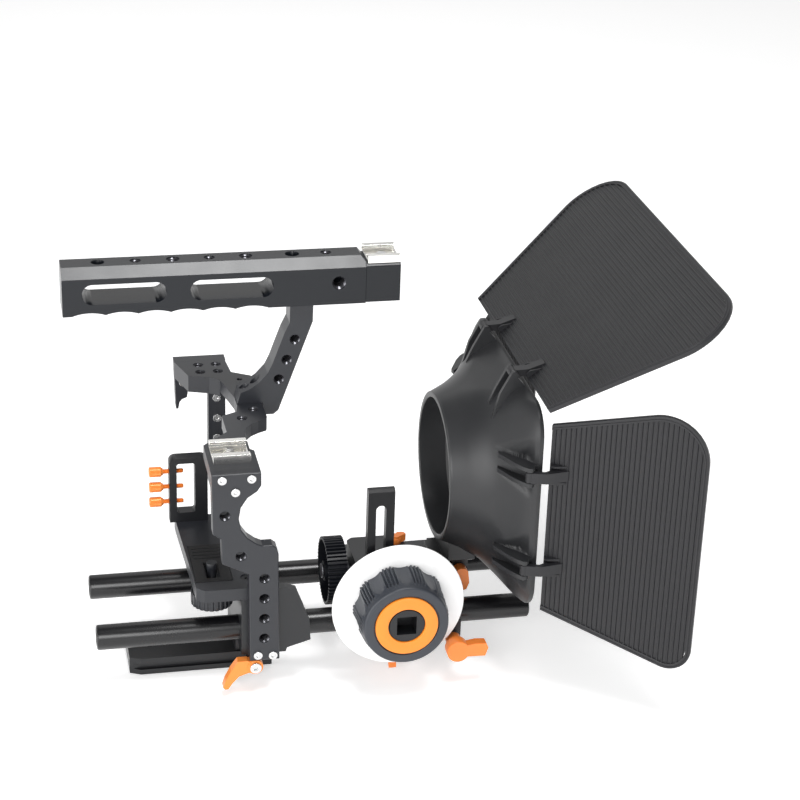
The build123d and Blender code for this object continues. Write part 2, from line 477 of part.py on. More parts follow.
drive_bevel = Pos(WHEEL_X - BEVEL_R - 0.35, GEAR_Y, WHEEL_Z) * Rot(0, 90, 0) * bevel()
drive_bevel -= cyl("x", GEAR_Y, WHEEL_Z, 3.0, 150, 200)
add("drive_bevel", drive_bevel)
add("drive_shaft", (cyl("x", GEAR_Y, WHEEL_Z, 3.0, GEAR_X0 - 0.6, WHEEL_X - 5.2)
                        + cyl("x", GEAR_Y, WHEEL_Z, 4.4, GEAR_X0 + GEAR_W, GB[0] - GAP)
                        + cyl("x", GEAR_Y, WHEEL_Z, 4.4, GEAR_X0 - 1.6, GEAR_X0)))
wheel_bevel = Pos(WHEEL_X, GEAR_Y - BEVEL_R - 0.35, WHEEL_Z) * Rot(-90, 0, 0) * bevel()
wheel_bevel -= cyl("y", WHEEL_X, WHEEL_Z, 4.0, -60, 20)
add("wheel_bevel", wheel_bevel)

# ---- follow focus: handwheel (turns about Y) -------------------------------------------
DISC_Y, DISC_R = -51.0, 40.0
add("wheel_shaft", cyl("y", WHEEL_X, WHEEL_Z, 4.0, -62.0, GEAR_Y - 4.9))
with BuildPart() as dp:
    with BuildSketch(Plane.XY):
        with BuildLine():
            Polyline((4.0, -50.4), (12.0, -50.4), (38.8, -51.2), (40.0, -52.0), (39.4, -52.8),
                     (30.0, -53.0), (4.0, -53.6), close=True)
        make_face()
    revolve(axis=Axis.Y)
add("marking_disc", Pos(WHEEL_X, 0, WHEEL_Z) * dp.part)

KNOB_FRONT, KNOB_BACK = -77.4, -53.6
RECESSES = 10
with BuildPart() as kp:
    with BuildSketch(Plane.XY):
        with BuildLine():
            Polyline((4.0, KNOB_BACK), (27.4, KNOB_BACK), (27.8, -55.4), (25.6, -75.6),
                     (24.0, KNOB_FRONT), (19.3, KNOB_FRONT), (19.3, -76.2), (10.4, -76.2),
                     (10.4, -64.0), (4.0, -64.0), close=True)
        make_face()
    revolve(axis=Axis.Y)
knob = kp.part
for k in range(RECESSES):
    a = 2 * pi * (k + 0.5) / RECESSES
    knob -= Pos(37.6 * cos(a), -65, 37.6 * sin(a)) * Rot(90, 0, 0) * Cylinder(12.0, 40)
    for j in (-1.5, -0.5, 0.5, 1.5):
        b = 2 * pi * k / RECESSES + radians(4.6) * j
        knob -= Pos(27.9 * cos(b), -63.4, 27.9 * sin(b)) * Rot(90, 0, 0) * Cylinder(0.75, 19)
add("handwheel_knob", Pos(WHEEL_X, 0, WHEEL_Z) * knob)
add("handwheel_ring", cyl("y", WHEEL_X, WHEEL_Z, 19.1, -77.9, -76.2)
    - cyl("y", WHEEL_X, WHEEL_Z, 10.4, -80, -70))
sock = cyl("y", WHEEL_X, WHEEL_Z, 10.2, -77.2, -64.0)
sock -= box(WHEEL_X - 5.8, WHEEL_X + 5.8, -80, -66.5, WHEEL_Z - 5.8, WHEEL_Z + 5.8)
add("handwheel_socket", sock)

# ---- matte box rod clamp ----------------------------------------------------------------
MB_X0, MB_X1, MB_HW, MB_TOP = 198.0, 218.0, 42.0, 11.0
mb = box(MB_X0, MB_X1, -MB_HW, MB_HW, -14.0, MB_TOP)
mb = chamfer(mb.edges().filter_by(Axis.X), 2.0)
for y in (-ROD_Y, ROD_Y):
    mb -= cyl("x", y, 0, ROD_R + RUN, MB_X0 - 1, MB_X1 + 1)
mb -= box(MB_X0 - 1, MB_X1 + 1, -MB_HW - 1, -ROD_Y, -0.6, 0.6)
TONGUE = (205.5, 216.5, -11.0, 11.0)
mb -= box(TONGUE[0] - 0.1, TONGUE[1] + 0.1, TONGUE[2] - 0.1, TONGUE[3] + 0.1, -15, 20)
KX, KZ = 212.2, -10.4
mb -= cyl("y", KX, KZ, 2.0 + RUN, -MB_HW - 1, -MB_HW + 10)
add("matte_rod_clamp", mb)
wing = cyl("y", KX, KZ, 6.8, -62.0, -54.4) + cyl("y", KX, KZ, 4.6, -54.4, -46.0)
wing += prism_y([(KX + 2, KZ + 3.6), (KX + 11.0, KZ + 5.0), (KX + 17.0, KZ + 4.6),
                 (KX + 18.4, KZ + 1.5), (KX + 16.6, KZ - 4.0), (KX + 9.0, KZ - 3.8),
                 (KX + 2, KZ - 3.6)], -62.0, -55.6)
wing -= cyl("y", KX, KZ, 2.5, -58, -45)
add("matte_wing_knob", wing)
add("matte_knob_stud", cyl("y", KX, KZ, 2.5, -58.0, -46.0) + cyl("y", KX, KZ, 4.0, -46.0, -42.3)
    + cyl("y", KX, KZ, 2.0, -42.3, -33.5))

# ---- matte box support -------------------------------------------------------------------
sup = box(212.6, 229.2, -24.0, 24.0, 27.0, 48.0)
sup -= cyl("x", 0, LENS_Z, COLLAR_R + 0.02, 190, 240)
sup = sup + box(*TONGUE, -12.0, 27.2)
sup = sup + box(207.5, 227.0, -13.0, 13.0, MB_TOP + 3.0, 27.2)
sup = sup + box(216.6, 227.0, -16.8, 16.8, MB_TOP + 3.5, 27.2)
for s in (-1, 1):
    sup -= prism_x([(s * 17.5, 26.9), (s * 24.1, 26.9), (s * 24.1, 31.0)], 200, 240)
PIVOT_X, PIVOT_Z = 221.6, 20.6
sup -= cyl("y", PIVOT_X, PIVOT_Z, 1.56, -20, -6)
add("matte_support", sup)
lv = cyl("y", PIVOT_X, PIVOT_Z, 4.2, -24.2, -16.8 - GAP)
lv += prism_y([(218.0, 23.0), (221.4, 24.6), (225.6, 22.6), (226.6, 15.0), (225.0, 10.4),
               (222.6, 9.4), (221.6, 11.4), (222.4, 15.0), (219.2, 17.0)], -24.2, -19.4)
lv += cyl("y", PIVOT_X, PIVOT_Z, 1.5, -20, -8.0)
add("matte_lock_lever", lv)


# ---- matte box housing --------------------------------------------------------------------
def section(x, w, h, r, lift=0.0):
    """Rounded rectangle across the lens axis from half width, half height and corner radius."""
    plane = Plane(origin=(x, 0, LENS_Z + lift), x_dir=(0, 1, 0), z_dir=(1, 0, 0))
    with BuildSketch(plane) as sk:
        RectangleRounded(2 * w, 2 * h, r)
    return sk.sketch.faces()[0]


WALL = 2.6
RIM_X = 249.5
RIM = (BOX_HALF_W, BOX_HALF_H, BOX_CORNER, BOX_LIFT)
STATIONS = [(208.0, 45.15, 45.15, 45.1, 0.0), (219.0, 51.0, 49.6, 49.0, 0.5),
            (229.0, 57.5, 53.8, 47.0, 1.3), (237.0, 65.0, 58.6, 38.0, 2.0),
            (245.0, 74.0, 63.4, 24.0, 2.7), (RIM_X, *RIM)]
BORE_END = 224.0


def shrunk(row, t):
    x, w, h, r, lift = row
    return x, w - t, h - t, max(r - t, 1), lift


outer = loft([section(*q) for q in STATIONS], ruled=True)
outer += extrude(section(RIM_X, *RIM), BOX_FRONT - RIM_X)
outer += cyl("x", 0, LENS_Z, COLLAR_R, BOX_X0, STATIONS[0][0] + 0.2)
inner = loft([section(BORE_END, 44.2, 44.2, 44.1)]
             + [section(*shrunk(q, WALL)) for q in STATIONS if q[0] > BORE_END], ruled=True)
inner += extrude(section(*shrunk((RIM_X - 0.1, *RIM), WALL)), BOX_FRONT - RIM_X + 0.1)
inner += cyl("x", 0, LENS_Z, COLLAR_BORE, BOX_X0 - 1, BORE_END + 0.5)
EAR_T, TAB_T, KNUCKLE_R, PIN_R = 2.6, 6.4, 2.6, 1.3


def ear_centres(c):
    return (c - TAB_T / 2 - GAP - EAR_T, c - TAB_T / 2 - GAP), (c + TAB_T / 2 + GAP,
                                                               c + TAB_T / 2 + GAP + EAR_T)


def top_ear(lo, hi):
    x, z = TOP_HINGE_X, TOP_HINGE_Z
    e = prism_y([(x + 2.6, z), (x + 1.4, z + 2.2), (x - 1.4, z + 2.2), (239.2, 156.0),
                 (235.0, 148.0), (230.8, 136.0), (231.8, 127.0), (246.0, 144.5),
                 (250.4, 150.5), (248.6, 153.6)], lo, hi)
    return e + cyl("y", x, z, KNUCKLE_R, lo, hi)


def side_ear(lo, hi, s):
    x, y = SIDE_HINGE_X, SIDE_HINGE_Y
    pts = [(x + 2.6, y - 0.4), (x + 1.4, y + 2.2), (x - 1.4, y + 2.2), (239.6, 79.0),
           (236.0, 73.0), (229.6, 60.0), (230.6, 55.5), (245.0, 68.0), (250.3, 76.5),
           (249.0, 78.4)]
    return prism_z([(u, s * v) for u, v in pts], lo, hi) + cyl("z", x, s * y, KNUCKLE_R, lo, hi)


ears, pins = [], {"top": [], "near": [], "far": []}
for c in (-TOP_EARS, TOP_EARS):
    for lo, hi in ear_centres(c):
        ears.append(top_ear(lo, hi))
    pins["top"].append(cyl("y", TOP_HINGE_X, TOP_HINGE_Z, PIN_R, c - TAB_T / 2 - EAR_T,
                           c + TAB_T / 2 + EAR_T))
for s, name in ((-1, "near"), (1, "far")):
    for c in (LENS_Z - SIDE_EARS, LENS_Z + SIDE_EARS):
        for lo, hi in ear_centres(c):
            ears.append(side_ear(lo, hi, s))
        pins[name].append(cyl("z", SIDE_HINGE_X, s * SIDE_HINGE_Y, PIN_R,
                              c - TAB_T / 2 - EAR_T, c + TAB_T / 2 + EAR_T))
housing = outer
for e in ears:
    housing += e
housing -= inner
for name in pins:
    for p in pins[name]:
        housing -= p
add("matte_box_housing", housing)
PARTS["matte_support"] -= outer
for name in pins:
    add(f"{name}_hinge_pins", group(*pins[name]))


# ---- flags -------------------------------------------------------------------------------
EDGE = 1.0                       # start of the plate in its own frame
TOP_ARM = dict(axis=(-4.5, 7.4), outline=[(-6.9, 6.4), (-4.6, 4.8), (-1.2, 3.0), (1.5, 0.6), (14.0, 0.6),
                                          (14.0, 1.5), (4.5, 4.2), (-2.2, 8.6), (-4.5, 10.0)])
SIDE_ARM = dict(axis=(-7.67, 10.4), outline=[(-8.6, 8.0), (-5.6, 8.6), (0.4, 7.4), (2.3, 4.6), (2.6, 0.6),
                                             (12.5, 0.6), (12.5, 1.5), (6.4, 6.6), (2.4, 9.8),
                                             (-6.0, 12.4), (-8.4, 12.9)])


def outline_face(e, grow, half_in, half_out, length, corners, z):
    """Flag outline: width half_in at x = e, half_out at x = length, shrunk by grow."""
    slope = (half_out - half_in) / (length - EDGE)
    x0, x1 = e + grow, length - grow
    y0, y1 = half_in + slope * (x0 - EDGE) - grow * 1.05, half_out - grow * (1.05 + slope)
    with BuildSketch(Plane.XY.offset(z)) as sk:
        with BuildLine():
            Polyline((x0, -y0), (x1, -y1), (x1, y1), (x0, y0), close=True)
        make_face()
        ends = sk.vertices().group_by(Axis.X)[-1].sort_by(Axis.Y)
        fillet(ends[1], corners[0] - grow)
        ends = [v for v in sk.vertices().filter_by_position(Axis.Y, -y1 - 0.1, -y1 + 0.1)]
        fillet(ends, corners[1] - grow)
    return sk.sketch.faces()[0]


def flag(half_in, half_out, length, corners, centres, arm, border=3.0, depth=0.6):
    """Flag in local XY: plate runs from x = EDGE towards +X, its hinge axis above and behind."""
    args = (half_in, half_out, length, corners)
    plate = extrude(outline_face(EDGE, 0, *args, -FLAG_T / 2), FLAG_T)
    plate -= extrude(outline_face(EDGE, border, *args, FLAG_T / 2 - depth), 2)
    plate -= extrude(outline_face(EDGE, border, *args, -FLAG_T / 2 - 2 + depth), 2)
    ax, az = arm["axis"]
    for c in centres:
        lo, hi = c - TAB_T / 2, c + TAB_T / 2
        plate += prism_y(arm["outline"], lo, hi)
        plate += cyl("y", ax, az, KNUCKLE_R, lo, hi)
        plate -= cyl("y", ax, az, PIN_R + RUN, lo - 1, hi + 1)
    return plate


def hinged(shape, arm, hinge, x_dir, z_dir):
    """Place a flag so that its own hinge axis falls on `hinge`."""
    ax, az = arm["axis"]
    origin = [h - ax * u - az * w for h, u, w in zip(hinge, x_dir, z_dir)]
    return Plane(origin=origin, x_dir=x_dir, z_dir=z_dir).location * shape


def dims(spec):
    return spec["half_in"], spec["half_out"], spec["length"], spec["corners"]


a = radians(TOP_FLAG["angle"])
add("top_flag", hinged(flag(*dims(TOP_FLAG), (-TOP_EARS, TOP_EARS), TOP_ARM), TOP_ARM,
                       (TOP_HINGE_X, 0, TOP_HINGE_Z), (cos(a), 0, sin(a)), (-sin(a), 0, cos(a))))


def side_flag(s, angle):
    a = radians(angle)
    half_in, half_out, length, corners = dims(SIDE_FLAG)
    f = flag(half_in, half_out, length, corners if s < 0 else corners[::-1],
             (-SIDE_EARS, SIDE_EARS), SIDE_ARM)
    return hinged(f, SIDE_ARM, (SIDE_HINGE_X, s * SIDE_HINGE_Y, LENS_Z),
                  (cos(a), s * sin(a), 0), (-sin(a), s * cos(a), 0))


add("near_side_flag", side_flag(-1, SIDE_FLAG["angle"]))
add("far_side_flag", side_flag(1, FAR_FLAG_ANGLE))

# ---- export --------------------------------------------------------------------------------
os.makedirs("parts", exist_ok=True)
for node, shape in PARTS.items():
    moved = Pos(*ROW_SHIFT) * shape
    solids = list(moved.solids())
    export_step(moved if len(solids) == 1 else Compound(children=solids), f"parts/{node}.step")
print(len(PARTS), "nodes")
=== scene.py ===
import json
from math import cos, pi, radians, sin, tan

import bmesh
import bpy
from mathutils import Matrix, Vector


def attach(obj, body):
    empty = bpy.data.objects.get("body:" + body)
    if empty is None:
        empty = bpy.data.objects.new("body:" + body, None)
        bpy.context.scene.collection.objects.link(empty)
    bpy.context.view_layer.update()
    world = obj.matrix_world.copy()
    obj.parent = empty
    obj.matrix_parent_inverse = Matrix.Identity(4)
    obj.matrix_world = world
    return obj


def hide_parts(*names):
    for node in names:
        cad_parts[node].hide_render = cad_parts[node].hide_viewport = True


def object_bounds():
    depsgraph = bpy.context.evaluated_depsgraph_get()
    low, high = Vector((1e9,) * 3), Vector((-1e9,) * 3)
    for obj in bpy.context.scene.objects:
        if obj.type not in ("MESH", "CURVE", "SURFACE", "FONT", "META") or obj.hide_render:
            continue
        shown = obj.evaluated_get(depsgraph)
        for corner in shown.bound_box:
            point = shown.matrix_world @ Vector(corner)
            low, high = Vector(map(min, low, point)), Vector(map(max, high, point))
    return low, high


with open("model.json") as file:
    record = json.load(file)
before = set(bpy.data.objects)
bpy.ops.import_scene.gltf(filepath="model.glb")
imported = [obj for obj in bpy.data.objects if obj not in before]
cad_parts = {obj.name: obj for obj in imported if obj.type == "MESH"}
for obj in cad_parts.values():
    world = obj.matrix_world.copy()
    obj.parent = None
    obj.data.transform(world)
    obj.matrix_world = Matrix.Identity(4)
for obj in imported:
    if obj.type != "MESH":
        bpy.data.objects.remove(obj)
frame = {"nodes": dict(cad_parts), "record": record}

CAD_BOX = [list(v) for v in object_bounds()]
NODES = frame["nodes"]
slot_of = {part["node"]: part["material_slot"] for part in frame["record"]["subparts"]}


# ---- materials ---------------------------------------------------------------
BLOTCH_SCALE = 14.0                     # tone mottling, in cycles to the metre
NOISE_ROUGHNESS = 0.6
LOW_STOP, HIGH_STOP = 0.3, 0.7          # where noise turns into the darkest and lightest tone


def new_material(name):
    """Node material with its tree and its surface shader."""
    material = bpy.data.materials.new(name)
    material.use_nodes = True
    tree = material.node_tree
    return material, tree, tree.nodes["Principled BSDF"]


def noise(tree, scale, detail=3.0, stretch=None):
    """Noise in the piece's own coordinates, drawn out by the stretch scale where one is given."""
    source = tree.nodes.new("ShaderNodeTexCoord").outputs["Object"]
    if stretch:
        mapping = tree.nodes.new("ShaderNodeMapping")
        mapping.inputs["Scale"].default_value = stretch
        tree.links.new(source, mapping.inputs["Vector"])
        source = mapping.outputs["Vector"]
    node = tree.nodes.new("ShaderNodeTexNoise")
    node.inputs["Scale"].default_value = scale
    node.inputs["Detail"].default_value = detail
    node.inputs["Roughness"].default_value = NOISE_ROUGHNESS
    tree.links.new(source, node.inputs["Vector"])
    return node.outputs["Fac"]


def ramp(tree, source, stops):
    """Colour ramp through (place, colour) stops."""
    node = tree.nodes.new("ShaderNodeValToRGB")
    elements = node.color_ramp.elements
    while len(elements) < len(stops):
        elements.new(0.5)
    for element, (place, colour) in zip(elements, stops):
        element.position = place
        element.color = (*colour, 1)
    tree.links.new(source, node.inputs["Fac"])
    return node.outputs["Color"]


def grey(value):
    return (value, value, value)


def surface(name, base, rough, metal=0.0, spread=0.07, rough_var=0.08, grain=2500.0, bump=0.12,
            dist=0.00006, spec=0.5, stretch=None):
    """Procedural surface: tone mottling, roughness variation and fine grain bump."""
    material, tree, shader = new_material(name)
    dark = tuple(c * (1 - spread) for c in base)
    light = tuple(min(1, c * (1 + spread)) for c in base)
    tone = ramp(tree, noise(tree, BLOTCH_SCALE, 4.0), [(LOW_STOP, dark), (HIGH_STOP, light)])
    tree.links.new(tone, shader.inputs["Base Color"])
    smoothest, roughest = grey(max(0.02, rough - rough_var)), grey(min(1, rough + rough_var))
    sheen = ramp(tree, noise(tree, BLOTCH_SCALE * 3, 5.0),
                 [(LOW_STOP, smoothest), (HIGH_STOP, roughest)])
    tree.links.new(sheen, shader.inputs["Roughness"])
    shader.inputs["Metallic"].default_value = metal
    shader.inputs["Specular IOR Level"].default_value = spec
    relief = tree.nodes.new("ShaderNodeBump")
    relief.inputs["Strength"].default_value = bump
    relief.inputs["Distance"].default_value = dist
    tree.links.new(noise(tree, grain, 2.0, stretch), relief.inputs["Height"])
    tree.links.new(relief.outputs["Normal"], shader.inputs["Normal"])
    return material


ANOD = surface("anodised", (0.018, 0.0195, 0.024), 0.36, spread=0.02, rough_var=0.02, bump=0.14)
ANOD_DARK = surface("anodised_dark", (0.006, 0.0065, 0.008), 0.38, spread=0.03, rough_var=0.02,
                    bump=0.12)
ANOD_BLOCK = surface("anodised_block", (0.010, 0.011, 0.013), 0.32, spread=0.03, rough_var=0.02,
                     bump=0.12)
HANDLE = surface("anodised_handle", (0.005, 0.0065, 0.0095), 0.24, spread=0.02, rough_var=0.02,
                 bump=0.08, spec=0.38)
ROD = surface("rod_black", (0.005, 0.005, 0.006), 0.27, spread=0.05, rough_var=0.02, bump=0.04,
              stretch=(0.02, 1, 1))
STEEL = surface("steel_bright", (0.90, 0.89, 0.86), 0.18, 1.0, spread=0.05, bump=0.2,
                stretch=(1, 0.03, 1))
STEEL_DARK = surface("steel_dark", (0.13, 0.13, 0.14), 0.35, 0.9, bump=0.15)
SCREW = surface("screw_silver", (0.66, 0.66, 0.66), 0.26, 1.0, spread=0.04, rough_var=0.04, bump=0.08)
RUBBER = surface("rubber_black", (0.012, 0.012, 0.013), 0.70, rough_var=0.04, bump=0.4, dist=0.0001)
ORANGE_METAL = surface("orange_metal", (0.86, 0.26, 0.045), 0.30, 0.15, spread=0.04, rough_var=0.03,
                       bump=0.1)
ORANGE_PLASTIC = surface("orange_plastic", (0.82, 0.22, 0.038), 0.36, spread=0.04, rough_var=0.03,
                         bump=0.12)
RING = surface("ring_orange", (0.86, 0.25, 0.022), 0.34, 0.05, spread=0.03, rough_var=0.03, bump=0.1)
GREY_RUBBER = surface("grey_rubber", (0.030, 0.034, 0.043), 0.42, spread=0.04, rough_var=0.03,
                      bump=0.25, dist=0.0001)
WHITE = surface("white_disc", (0.85, 0.85, 0.85), 0.42, spread=0.01, rough_var=0.02, bump=0.08)
PLASTIC = surface("black_plastic", (0.015, 0.0155, 0.017), 0.40, spread=0.03, rough_var=0.02,
                  bump=0.30, dist=0.00008, grain=1800.0)
FLAG = surface("flag_plastic", (0.012, 0.012, 0.014), 0.46, spread=0.03, rough_var=0.02, bump=0.22,
               dist=0.0001, spec=0.46)
GEAR = surface("gear_plastic", (0.006, 0.007, 0.010), 0.36, spread=0.05, rough_var=0.03, bump=0.15,
               spec=0.3)
SATIN = surface("satin_black", (0.005, 0.005, 0.006), 0.30, spread=0.03, rough_var=0.02, bump=0.1,
                spec=0.25)
THREAD = surface("thread_cut", (0.10, 0.10, 0.11), 0.26, 0.85, spread=0.05, rough_var=0.03, bump=0.1)

SLOT_MATERIAL = {"black_anodised": ANOD, "rod_black": ROD, "steel_bright": STEEL,
                 "screw_silver": SCREW, "rubber_black": RUBBER, "orange_metal": ORANGE_METAL,
                 "orange_plastic": ORANGE_PLASTIC, "grey_rubber": GREY_RUBBER, "white_disc": WHITE,
                 "black_plastic": PLASTIC, "gear_plastic": GEAR, "steel_dark": STEEL_DARK}
NODE_MATERIAL = {"handle_bar": HANDLE, "handle_nose": HANDLE, "handwheel_ring": RING,
                 "tripod_plate": ANOD_DARK, "gearbox_housing": ANOD_DARK,
                 "follow_post": SATIN, "matte_support": ANOD_DARK, "rod_clamp_block": ANOD_BLOCK,
                 "clamp_lever_bracket": ANOD_BLOCK, "handwheel_socket": ANOD_DARK,
                 "cable_clamp_frame": ANOD_DARK, "base_plate_screws": ANOD_DARK, "top_flag": FLAG,
                 "near_side_flag": FLAG, "far_side_flag": FLAG}


# ---- CAD pieces kept as they are -----------------------------------------------
NO_BEVEL = {"top_hinge_pins", "near_hinge_pins", "far_hinge_pins", "drive_bevel", "wheel_bevel",
            "drive_gear"}
NOT_MERGED = "handwheel_socket"         # its flat triangles stay as the CAD gives them
EDGE_ROUND, SMALL_ROUND = 0.00035, 0.0002
SHARP_EDGE = 34                         # degrees
FLAT_ANGLE = 0.6                        # degrees between triangles that are one flat face
WELD_GAP = 2e-6


def round_edges(piece, width, angle):
    """Round the edges that are sharper than the angle in degrees."""
    edge = piece.modifiers.new("bevel", "BEVEL")
    edge.width = width
    edge.segments = 2
    edge.limit_method = "ANGLE"
    edge.angle_limit = radians(angle)
    return edge


def soften(piece, width, merge_flat):
    """Weld a CAD mesh, merge its flat triangles and round its sharp edges."""
    piece.modifiers.new("weld", "WELD").merge_threshold = WELD_GAP
    if merge_flat:
        flat = piece.modifiers.new("planar", "DECIMATE")
        flat.decimate_type = "DISSOLVE"
        flat.angle_limit = radians(FLAT_ANGLE)
    round_edges(piece, width, SHARP_EDGE).harden_normals = True


for name, node in NODES.items():
    node.data.materials.clear()
    node.data.materials.append(NODE_MATERIAL.get(name, SLOT_MATERIAL[slot_of[name]]))
    if name not in NO_BEVEL:
        small = "screw" in name or "pins" in name
        soften(node, SMALL_ROUND if small else EDGE_ROUND, merge_flat=name != NOT_MERGED)


# ---- mesh tools for the detailed pieces ------------------------------------------
SHIFT = Vector((-53.0, 0.0, 34.5))      # drawing frame (mm, rod ends and rod axes) to row frame


def build(name, shape, material, body, node, smooth, bevel=0.0, instead=True):
    """Mesh piece from a drawn shape, smooth up to an angle, in place of its CAD node or added to it."""
    mesh = bpy.data.meshes.new(name)
    mesh.from_pydata([tuple((v + SHIFT) / 1000) for v in shape.verts], [], shape.faces)
    mesh.validate()
    piece = bpy.data.objects.new(name, mesh)
    bpy.context.scene.collection.objects.link(piece)
    mesh.materials.append(material)
    work = bmesh.new()
    work.from_mesh(mesh)
    bmesh.ops.recalc_face_normals(work, faces=work.faces)
    for face in work.faces:
        face.smooth = True
    for edge in work.edges:
        if len(edge.link_faces) == 2 and edge.calc_face_angle(0) > radians(smooth):
            edge.smooth = False
    work.to_mesh(mesh)
    work.free()
    if bevel:
        round_edges(piece, bevel, smooth)
    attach(piece, body)
    if instead:
        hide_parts(node)


class Shape:
    """Collects the shells of one piece, in drawing-frame millimetres."""

    def __init__(self):
        self.verts, self.faces = [], []

    def add(self, verts, faces):
        n = len(self.verts)
        self.verts += [Vector(p) for p in verts]
        self.faces += [tuple(i + n for i in face) for face in faces]

    def prism(self, outline, at, lo, hi):
        """Outline of 2-D points placed by at(a, b, t), from t = lo to t = hi."""
        n = len(outline)
        self.add([at(a, b, lo) for a, b in outline] + [at(a, b, hi) for a, b in outline],
                 [tuple(range(n)), tuple(range(2 * n - 1, n - 1, -1))]
                 + [(i, (i + 1) % n, n + (i + 1) % n, n + i) for i in range(n)])

    def rings(self, rings, closed=True):
        """Skin over equal-length closed rings, last joined to first when closed."""
        n, m = len(rings[0]), len(rings)
        faces = []
        for k in range(m if closed else m - 1):
            a, b = k * n, ((k + 1) % m) * n
            faces += [(a + i, a + (i + 1) % n, b + (i + 1) % n, b + i) for i in range(n)]
        self.add([p for ring in rings for p in ring], faces)


def arc(cx, cy, r, start, end, n=10):
    """Points of a circle's arc between two angles in degrees."""
    angles = [radians(start + (end - start) * i / n) for i in range(n + 1)]
    return [(cx + r * cos(t), cy + r * sin(t)) for t in angles]


def rounded(points, radii, n=14):
    """Open chain through the points, with its inner corners rounded."""
    out = [Vector((*points[0], 0))]
    for before, corner, after, r in zip(points, points[1:], points[2:], radii):
        p = Vector((*corner, 0))
        a = (Vector((*before, 0)) - p).normalized()
        b = (Vector((*after, 0)) - p).normalized()
        half = a.angle(b) / 2
        centre = p + (a + b).normalized() * (r / sin(half))
        first, last = p + a * (r / tan(half)) - centre, p + b * (r / tan(half)) - centre
        out += [centre + first.lerp(last, i / n).normalized() * r for i in range(n + 1)]
    out.append(Vector((*points[-1], 0)))
    return [(q.x, q.y) for q in out]


# ---- flags -----------------------------------------------------------------------
LENS_Z = 84.0
EDGE = 1.0                              # a flag's free length starts this far from its hinge edge
TAB_T, KNUCKLE_R, PIN_R = 6.4, 2.6, 1.36
KNUCKLE_SIDES = 32
RIM_WIDTH, SIDE_SLANT = 3.0, 1.05       # double rim, and the inset of a slanted side to its width
RIM_STEPS = [(0, 1.1), (0.15, 1.38), (0.4, 1.5), (1.25, 1.5), (1.4, 1.22), (1.75, 1.22),
             (1.9, 1.5), (2.75, 1.5), (3.0, 1.36), (3.05, 0.5)]     # (inset, half thickness)
FLOOR, RIB_PITCH = 0.60, 2.9
RIB = [(0.0, FLOOR), (1.30, FLOOR), (1.55, 1.25), (1.85, 1.38), (2.15, 1.25), (2.40, FLOOR)]
WEB = [(1.2, 1.0), (11.0, 1.0), (9.6, 1.9), (4.6, 5.4), (2.2, 5.2)]
WEB_LIFT, WEB_SQUASH, WEB_T = 0.2, 0.72, 1.2
WEB_GAPS = (-TAB_T / 2 - 2.6, TAB_T / 2 + 1.4)


def across(chain, x):
    """Sideways place of a chain at x, for a chain that runs along x."""
    for (xa, ya), (xb, yb) in zip(chain, chain[1:]):
        if x <= xb + 1e-9:
            return ya + (yb - ya) * (x - xa) / max(xb - xa, 1e-9)
    return chain[-1][1]


def rib_stations(x_end):
    """(place, half thickness) of the ribbed panel from its hinge edge to x_end."""
    stations, x = [(EDGE, FLOOR)], EDGE + 0.3
    while x < x_end - 2.0:
        stations += [(x + dx, z) for dx, z in RIB]
        x += RIB_PITCH
    return [s for s in stations if s[0] < x_end - 0.2] + [(x_end, FLOOR)]


